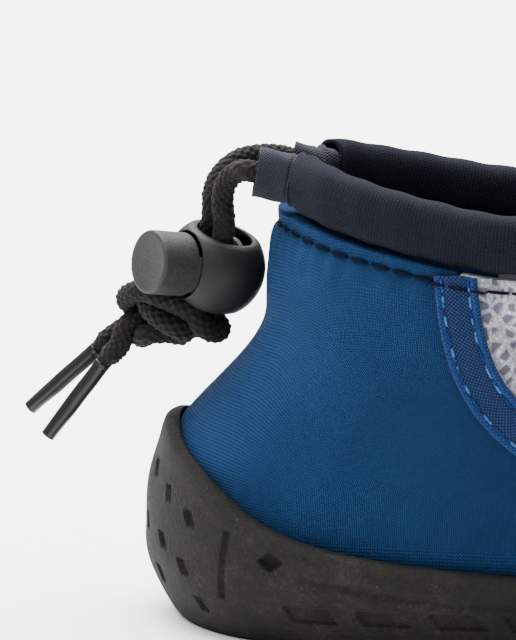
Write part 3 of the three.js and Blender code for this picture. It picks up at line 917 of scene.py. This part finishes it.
def make_collar(m):
    u = np.linspace(TUNNEL_START, TUNNEL_END, 700)
    path = tunnel_middle(u)

    def lumps(s, a):
        return 0.16 * np.sin(s * 0.36) * np.cos(a) + 0.1 * np.sin(s * 0.83 + a)

    def seam(s, a):
        ridge = 0.45 * np.exp(-(((s - 2.0) / 0.4) ** 2))
        return ridge - 0.3 * np.exp(-(((s - 2.9) / 0.3) ** 2)) + 0.12 * np.cos(3 * a + s)

    obj = sleeve("collar_tunnel_looks", path, TUNNEL_WIDTH / 2, TUNNEL_HEIGHT / 2, 0.9, 72, m["navy"], lumps)
    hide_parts("collar_tunnel")
    for label, start, step, mouth, wide, high in (
        ("lateral", TUNNEL_START, -1, (21, -8.2, 80.6), 3.4, 4.4),
        ("medial", TUNNEL_END, 1, (25, 8.8, 80.4), 3.0, 3.2),
    ):
        a = tunnel_middle(np.array([start, start + step * 0.004]))
        heading = unit(a[1] - a[0])
        first, last = a[0] + heading * 0.3, np.array(mouth, float)
        middle = first + heading * 2.5
        t = np.linspace(0, 1, 60)[:, None]
        curve = (1 - t) ** 2 * first + 2 * t * (1 - t) * middle + t**2 * last
        obj = sleeve("tunnel_tab_%s_looks" % label, curve, wide, high, 0.8, 56, m["webbing"], seam)
        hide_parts("tunnel_tab_" + label)
    # the lockstitch that closes the tunnel runs along the collar, just under the navy binding
    u = np.linspace(0.02, 0.98, 1600)
    v = 0 * u + 0.958
    on_quarter = (u < 0.165) | (u > 0.835)
    on_ribbon = (np.abs(u - 0.176) < 0.011) | (np.abs(u - 0.824) < 0.011)
    lift = np.where(on_ribbon, 2.0, np.where(on_quarter, puff(u, v) + 0.25, 0.3))
    line = skin_out(u, v, lift)
    stitch_row("collar_stitches_outer", line, skin_normal(u, v), 4.2, 0.84, 0.3, m["thread"])


def make_inside(m):
    """The drawcord inside its tunnel and the layers under the foot keep their CAD shapes."""
    for node, key in (
        ("drawcord", "braid"), ("strobel_board", "board"),
        ("footbed", "foam"), ("footbed_cover", "navy_plain"),
    ):
        obj = bpy.data.objects[node]
        obj.data.materials.clear()
        obj.data.materials.append(m[key])


# ------------------------------------------------------------------ the ball cord lock
BALL = np.array([12.4, 0, 62.0])
HOLE_AXIS = unit(np.array([0.31, -0.112, 0.944]))
_press = np.array([-0.72, -0.65, 0.16])  # from the ball's centre out through the button
PRESS_AXIS = unit(_press - HOLE_AXIS * np.dot(_press, HOLE_AXIS))
PAIR_AXIS = np.cross(HOLE_AXIS, PRESS_AXIS)
CORD_LEAN = math.radians(8)
CORD_AXIS = HOLE_AXIS * math.cos(CORD_LEAN) + PRESS_AXIS * math.sin(CORD_LEAN)
CORD_PUSH, CORD_SPACING = 1.1, CORD / 2 + 0.2
SLOT_INNER, SLOT_OUTER = -2.1, 7.05
FINE = 0.00016  # metres, voxel that softens the moulded edges


def in_lock(side, along):
    return BALL + PRESS_AXIS * CORD_PUSH + PAIR_AXIS * side * CORD_SPACING + CORD_AXIS * along


def axes(direction, hint):
    z = unit(np.asarray(direction, float))
    x = unit(hint - z * np.dot(hint, z))
    return x, np.cross(z, x), z


def turned_solid(name, profile, centre, direction, hint, sides=128):
    """Solid of revolution from (distance along, radius) pairs."""
    x, y, z = axes(direction, np.asarray(hint, float))
    angle = circle(sides)
    around = np.cos(angle)[:, None] * x + np.sin(angle)[:, None] * y
    rings = [centre + z * d + r * around for d, r in profile]
    points = np.concatenate(rings + [[centre + z * profile[0][0]], [centre + z * profile[-1][0]]])
    faces = grid_faces(len(profile), sides, wrap=True)
    a, b = len(points) - 2, len(points) - 1
    end = (len(profile) - 1) * sides
    for k in range(sides):
        j = (k + 1) % sides
        faces += [(a, k, j), (b, end + j, end + k)]
    return mesh_object(name, points, faces)


def box_solid(name, centre, direction, hint, size):
    x, y, z = axes(direction, np.asarray(hint, float))
    signs = [(i, j, k) for i in (-1, 1) for j in (-1, 1) for k in (-1, 1)]
    corners = [centre + (i * size[0] * x + j * size[1] * y + k * size[2] * z) / 2 for i, j, k in signs]
    faces = [(0, 1, 3, 2), (4, 6, 7, 5), (0, 4, 5, 1), (2, 3, 7, 6), (0, 2, 6, 4), (1, 5, 7, 3)]
    return mesh_object(name, np.array(corners), faces)


def apply_modifiers(obj):
    graph = bpy.context.evaluated_depsgraph_get()
    mesh = bpy.data.meshes.new_from_object(obj.evaluated_get(graph))
    obj.modifiers.clear()
    old = obj.data
    obj.data = mesh
    bpy.data.meshes.remove(old)


def carve(obj, cutters):
    for cutter in cutters:
        modifier = obj.modifiers.new("cut", "BOOLEAN")
        modifier.operation = "DIFFERENCE"
        modifier.solver = "EXACT"
        modifier.object = cutter
        apply_modifiers(obj)
    for cutter in cutters:
        bpy.data.objects.remove(cutter)


def soften(obj, voxel, passes, material):
    """Remesh finely and smooth, which rounds every moulded edge a little."""
    modifier = obj.modifiers.new("remesh", "REMESH")
    modifier.mode = "VOXEL"
    modifier.voxel_size = voxel
    modifier.use_smooth_shade = True
    modifier = obj.modifiers.new("smooth", "SMOOTH")
    modifier.factor = 0.5
    modifier.iterations = passes
    apply_modifiers(obj)
    obj.data.materials.clear()
    obj.data.materials.append(material)
    shade_smooth(obj.data)


def rod_profile(low, high, radius, rim):
    """A rod whose far rim is rounded."""
    steps = np.linspace(0, math.pi / 2, 7)
    rounded = [(high - rim + rim * math.sin(a), radius - rim + rim * math.cos(a)) for a in steps]
    return [(low, radius)] + rounded


def make_lock(m):
    angles = np.linspace(-math.pi / 2 + 0.01, math.pi / 2 - 0.01, 90)
    profile = [(BALL_RADIUS * math.sin(a), BALL_RADIUS * math.cos(a)) for a in angles]
    profile = [(along, r) for along, r in profile if abs(along) <= BALL_FLAT]
    low, high = profile[0], profile[-1]
    rim = 0.45
    profile = [(-BALL_FLAT, low[1] - rim)] + profile[1:-1] + [(BALL_FLAT, high[1] - rim)]
    body = turned_solid("lock_body_looks", profile, BALL, HOLE_AXIS, PRESS_AXIS)
    hole = turned_solid("hole", [(-12, CORD_HOLE), (12, CORD_HOLE)], BALL, HOLE_AXIS, PRESS_AXIS)
    bore_radius = BUTTON_RADIUS + GAP
    bore = turned_solid("bore", [(-5.9, bore_radius), (12, bore_radius)], BALL, PRESS_AXIS, HOLE_AXIS)
    pocket = turned_solid("pocket", [(-7.9, 3.0), (0, 3.0)], BALL, PRESS_AXIS, HOLE_AXIS)
    carve(body, [hole, bore, pocket])
    soften(body, FINE, 5, m["plastic"])
    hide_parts("lock_body")
    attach(body, "lock")
    # the button: a plug with a slot for both cords, its face slightly dished inside a rim
    edge = rod_profile(SLOT_INNER - 1.1, BUTTON_REACH, BUTTON_RADIUS, 0.55)
    dish = [(BUTTON_REACH - 0.02 - 0.3 * (1 - (r / 4.9) ** 2), r) for r in (4.9, 4.2, 3.3, 2.2, 1.1, 0.05)]
    button = turned_solid("lock_button_looks", edge + dish, BALL, PRESS_AXIS, HOLE_AXIS)
    middle = BALL + PRESS_AXIS * (SLOT_OUTER + SLOT_INNER) / 2
    slot = box_solid("slot", middle, PRESS_AXIS, PAIR_AXIS, (8.8, 30, SLOT_OUTER - SLOT_INNER))
    carve(button, [slot])
    soften(button, FINE, 4, m["button"])
    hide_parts("lock_button")
    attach(button, "button")


def make_spring(m):
    """Coil spring behind the button, built at one fixed length; the real one shortens as the button goes in.
    """
    radius, wire, turns = 2.3, 0.3, 4
    low, high = -7.9 + wire + 0.1, SLOT_INNER - 1.1 - wire - 0.1
    x, y, z = axes(PRESS_AXIS, PAIR_AXIS)
    t = np.linspace(0, 1, 260)
    angle = 2 * math.pi * turns * t
    climb = low + (high - low) * smooth(0.04, 0.96, t)
    path = BALL + z * climb[:, None] + radius * (np.cos(angle)[:, None] * x + np.sin(angle)[:, None] * y)
    spring = tube_object("lock_spring_looks", path, wire, 12, m["steel"])
    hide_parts("lock_spring")
    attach(spring, "lock")
    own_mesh(spring)


# ------------------------------------------------------------------ the doubled drawcord with its knot
STRAND_START = {
    1: [
        (22.6, -7.92, 80.35), (21, -8.2, 80.6), (20.42, -8.30, 80.70), (19.06, -8.52, 80.95),
        (17.2, -7.2, 80.2), (15.4, -6, 78.2), (14.6, -5, 75.2),
    ],
    -1: [
        (26.6, 9.0, 80.1), (25, 8.8, 80.4), (24.43, 8.73, 80.56), (23.09, 8.56, 80.93),
        (20, 6.2, 81.4), (16.2, 3.8, 80.8), (13.3, 1.6, 78.4), (12.2, 0, 75.6),
    ],
}
# the knot's doubled line: middle of the pair, and how the pair is turned there
KNOT = [
    ((9.8, 0.8, 54.0), PAIR_AXIS),
    ((8.3, 3.0, 52.2), (0.3, -0.5, -0.7)),
    ((4.5, 5.4, 52.2), (0, 0.3, -1)),
    ((-0.2, 4.4, 53.8), (-0.6, 0.2, -0.8)),
    ((-2.0, 0.5, 55.8), (-1, 0, -0.1)),
    ((0.4, -3.2, 56.2), (-0.3, -0.3, 0.9)),
    ((5.0, -4.8, 54.4), (0.35, 0.0, 0.94)),
    ((8.2, -4.0, 52.6), (0.5, 0.0, 0.86)),
    ((9.4, -0.4, 51.2), (1, 0.3, 0.3)),
    ((7.8, 2.6, 50.3), (0.5, 0.7, 0.4)),
    ((4.2, 1.2, 50.6), (0, 1, 0.3)),
    ((-0.6, -0.2, 50.9), (0.1, 0.8, 0.5)),
]
TAILS = {
    1: ([(-3.6, -1.2, 48.4), (-5.4, -1.8, 46.6), (-7.3, -2.2, 44.6)], (-0.6, -0.06, -0.8)),
    -1: ([(-3.4, 3.0, 50.4), (-6.4, 2.6, 48.6), (-9.1, 2.2, 46.2)], (-0.74, 0.02, -0.67)),
}
AGLET_LENGTH, AGLET_DIAMETER = 16.7, 3.0


def cord_routes():
    """Centre lines of both strands, pushed away from each other and from the ball over a fixed 120 passes."""
    lines = []
    for side in (1, -1):
        points = list(STRAND_START[side]) + [in_lock(side, 9.0), in_lock(side, 0.0), in_lock(side, -7.5)]
        for centre, turn in KNOT:
            points.append(np.array(centre) + unit(np.array(turn, float)) * side * CORD_SPACING * 0.9)
        tail, heading = TAILS[side]
        points += tail
        points.append(np.array(tail[-1]) + unit(np.array(heading, float)) * 1.6)
        lines.append(spline([np.asarray(p, float) for p in points], 230))
    space = CORD * 0.9
    pinned = []
    for side, line in zip((1, -1), lines):
        s = (line - BALL) @ HOLE_AXIS
        free = (np.arange(len(line)) > 90) & (s < -8.2)
        tail_from = np.argmax(lengths(line) > lengths(line)[-1] - 5.0)
        free[tail_from:] = False
        pinned.append(~free)
    for _ in range(120):
        both = np.concatenate(lines)
        owner = np.repeat([0, 1], [len(line) for line in lines])
        place = np.concatenate([lengths(line) for line in lines])
        gap = both[:, None] - both[None]
        distance = np.linalg.norm(gap, axis=2)
        apart = (owner[:, None] != owner[None]) | (np.abs(place[:, None] - place[None]) > CORD * 1.9)
        close = np.where(apart & (distance < space), (space - distance), 0)
        push = (gap / np.maximum(distance, 1e-6)[..., None] * close[..., None]).sum(1)
        weight = np.maximum((close > 0).sum(1), 1)[:, None]
        both = both + np.where(np.concatenate(pinned)[:, None], 0, 0.42 * push / weight)
        off = both - BALL
        along = off @ HOLE_AXIS
        lift = np.maximum(0, along + BALL_FLAT + CORD / 2 + 0.1)
        inside = ~np.concatenate(pinned) & (np.linalg.norm(off, axis=1) < BALL_RADIUS + CORD / 2)
        both = both - np.where(inside, np.minimum(lift, 0.3), 0)[:, None] * HOLE_AXIS
        lines = [both[: len(lines[0])], both[len(lines[0]):]]
        for k, line in enumerate(lines):
            middle = (line[:-2] + line[2:]) / 2
            line[1:-1] = np.where(pinned[k][1:-1, None], line[1:-1], mix(line[1:-1], middle, 0.1))
    return [resample(line, 640) for line in lines]


def braid_relief(s, angle, radius):
    """Round braid of sixteen carriers: two families of plaits, each over two and under two."""
    pitch = 3.3
    turns = 4
    a = turns * angle + 2 * math.pi * s / pitch
    b = turns * angle - 2 * math.pi * s / pitch
    over = np.sin(a) * np.sin(b)
    plait = np.abs(np.sin(a)) ** 0.6 * np.maximum(0, over) + np.abs(np.sin(b)) ** 0.6 * np.maximum(0, -over)
    crumple = 0.03 * np.sin(s * 5.3 + 3 * angle) * np.sin(s * 3.1 - 2 * angle)
    return radius * (0.86 + 0.17 * np.abs(over) ** 0.5 + 0.03 * plait + crumple)


def make_cords(m):
    routes = cord_routes()
    for side, label, route in ((1, "lateral", routes[0]), (-1, "medial", routes[1])):
        heading = unit(np.array(TAILS[side][1], float))
        aglet = make_aglet("aglet_%s_looks" % label, np.array(TAILS[side][0][-1], float), heading, m)
        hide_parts("aglet_" + label)
        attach(aglet, "toggle")
        s = lengths(route)[:, None]
        sides = 48
        angle = circle(sides)[None, :]
        radius = braid_relief(s, angle, CORD / 2) * (1 - 0.28 * smooth(s[-1] - 3.4, s[-1] - 1.6, s))
        obj = tube_object("drawstring_" + label, route, radius, sides, m["braid"])
        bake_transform(obj)
        nodes = ["cord_strand_" + label, "cord_tail_" + label]
        if side > 0:
            nodes.append("cord_knot")
        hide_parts(*nodes)
    # loose fibres stand off the braid
    for k, route in enumerate(routes):
        at = rng.integers(120, 620, 90)
        points, faces = [], []
        for i in at:
            direction = unit(rng.normal(size=3))
            base = route[i] + direction * CORD * 0.47
            if np.linalg.norm(base - BALL) < BALL_RADIUS + 2.5:
                continue
            bend = unit(rng.normal(size=3)) * 0.5
            t = np.linspace(0, 1, 5)[:, None]
            line = base + direction * t * rng.uniform(0.3, 0.9) + bend * t**2
            ring = tube_points(line, 0.022, 3)
            start = len(points) * 15
            points.append(ring.reshape(-1, 3))
            faces += grid_faces(5, 3, wrap=True, start=start)
        fuzz = mesh_object("cord_fibres_%d" % k, np.concatenate(points), faces, None, m["fibre"])
        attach(fuzz, "toggle")


def make_aglet(name, tail_end, heading, m):
    """Shrunk tube: its wall follows the braid a little, its cut end is open and slightly squashed."""
    start = tail_end + heading * 0.4
    sides, count = 48, 120
    path = start + heading * np.linspace(0, AGLET_LENGTH, count)[:, None]
    s = lengths(path)[:, None]
    angle = circle(sides)[None, :]
    r = AGLET_DIAMETER / 2
    squash = 0.12 * smooth(9, 16, s) * np.cos(2 * angle)
    fold = 0.035 * (np.exp(-(((angle - 1.9) / 0.16) ** 2)) + np.exp(-(((angle - 4.4) / 0.2) ** 2)))
    ripple = fold + 0.012 * np.sin(s * 0.9 + angle) + 0.05 * np.exp(-((s / 0.35) ** 2))
    outer = r * (0.955 + ripple + squash)
    inner = np.broadcast_to(outer - 0.3, outer.shape)
    a = tube_points(path, outer, sides)
    b = tube_points(path, inner, sides)[::-1][:40]
    cap = np.repeat(path[count - 40][None, None], sides, 1)
    front = np.repeat(path[0][None, None], sides, 1)
    rings = np.concatenate([front, a, b, cap])
    uv = np.stack(np.broadcast_arrays(angle * r, np.arange(len(rings))[:, None] * 0.14), -1)
    faces = grid_faces(len(rings), sides, wrap=True)
    obj = mesh_object(name, rings.reshape(-1, 3), faces, uv.reshape(-1, 2), m["aglet"])
    weld(obj)
    return obj


# ------------------------------------------------------------------ the whole shoe
def mesh_fabric_material():
    """Open spacer mesh: fluffy pale yarn bars round irregular holes, which are painted dark as the shade
    inside them.
    """
    n = Nodes("grey_mesh", (0.3, 0.3, 0.33), 0.8, Sheen_Weight=0.05, Specular_IOR_Level=0.1)
    place = n.new("ShaderNodeTexCoord").outputs["Object"]
    cells = n.new("ShaderNodeTexVoronoi", feature="DISTANCE_TO_EDGE")
    cells.inputs["Scale"].default_value = 430
    cells.inputs["Randomness"].default_value = 0.75
    n.link(place, cells.inputs["Vector"])
    yarn = n.noise(1900, 5, roughness=0.75)
    ragged = n.math("ADD", cells.outputs[0], n.math("MULTIPLY", n.math("SUBTRACT", yarn, 0.5), 0.32))
    holes = n.ramp(ragged, (0.1, (0, 0, 0)), (0.2, (1, 1, 1)))
    patches = n.noise(130, 4)
    bar = n.ramp(
        weighted(n, (yarn, 0.6), (patches, 0.4)),
        (0.36, (0.1, 0.1, 0.13)), (0.5, (0.26, 0.26, 0.3)), (0.64, (0.75, 0.75, 0.77)),
    )
    # painted shade: the holes are not cut through the sheet, so this dark colour stands for the shade inside
    # each open cell
    hole = n.ramp(patches, (0.35, (0.035, 0.037, 0.055)), (0.65, (0.13, 0.13, 0.17)))
    n.color(n.mix_color(holes, bar, hole))
    n.normal(n.bump(n.math("SUBTRACT", 1.0, holes), 0.0005, 0.8, n.bump(yarn, 0.0003, 1.0)))
    return n.material


def make_materials():
    return {
        "rubber": rubber_material(),
        "jersey": knit_material(
            "blue_jersey", (0.0002, 0.002, 0.0095), (0.0016, 0.0112, 0.0445), (0.012, 0.052, 0.148),
            wale=0.64, course=0.62, depth=0.00034, sheen=0.04, sheen_tint=(0.25, 0.5, 0.85),
        ),
        "navy": knit_material(
            "navy_fabric", (0.0008, 0.001, 0.0026), (0.003, 0.0037, 0.0076), (0.0095, 0.0115, 0.019),
            wale=0.6, course=0.6, depth=0.00022, sheen=0.05, sheen_tint=(0.4, 0.45, 0.6),
        ),
        "navy_plain": plain_material("navy_fabric_plain", (0.0105, 0.0125, 0.022), 0.9),
        "webbing": woven_material(
            "navy_webbing", (0.004, 0.005, 0.0085), (0.012, 0.014, 0.021), (0.026, 0.029, 0.04),
            pitch=0.62, depth=0.00018,
        ),
        "ribbon": ribbon_material(),
        "ribbon_thread": thread_material("ribbon_thread", (0.004, 0.02, 0.08), (0.03, 0.1, 0.25), 0.25),
        "mesh": mesh_fabric_material(),
        "lining": plain_material("mesh_lining", (0.12, 0.12, 0.15), 0.9),
        "braid": braid_material(),
        "fibre": plain_material("braid_fibre", (0.03, 0.029, 0.026), 0.8),
        "plastic": plastic_material(
            "black_plastic", (0.004, 0.004, 0.0044), (0.009, 0.0088, 0.0087), grain_depth=0.00007
        ),
        "button": plastic_material(
            "button_plastic", (0.009, 0.009, 0.0086), (0.028, 0.027, 0.025), grain_depth=0.00014
        ),
        "aglet": Nodes("aglet_plastic", (0.005, 0.005, 0.0047), 0.36, Specular_IOR_Level=0.3).material,
        "thread": thread_material("collar_thread", (0.0015, 0.0025, 0.007), (0.22, 0.22, 0.24), 0.04),
        "board": plain_material("board", (0.5, 0.46, 0.4), 0.9),
        "foam": plain_material("eva_foam", (0.05, 0.05, 0.055), 0.85),
        "steel": Nodes("spring_steel", (0.55, 0.55, 0.56), 0.3, Metallic=1.0).material,
    }


make_camera()
materials = make_materials()
make_cords(materials)
make_studio()
make_outsole(materials["rubber"])
make_upper(materials)
make_collar(materials)
make_lock(materials)
make_spring(materials)
make_inside(materials)
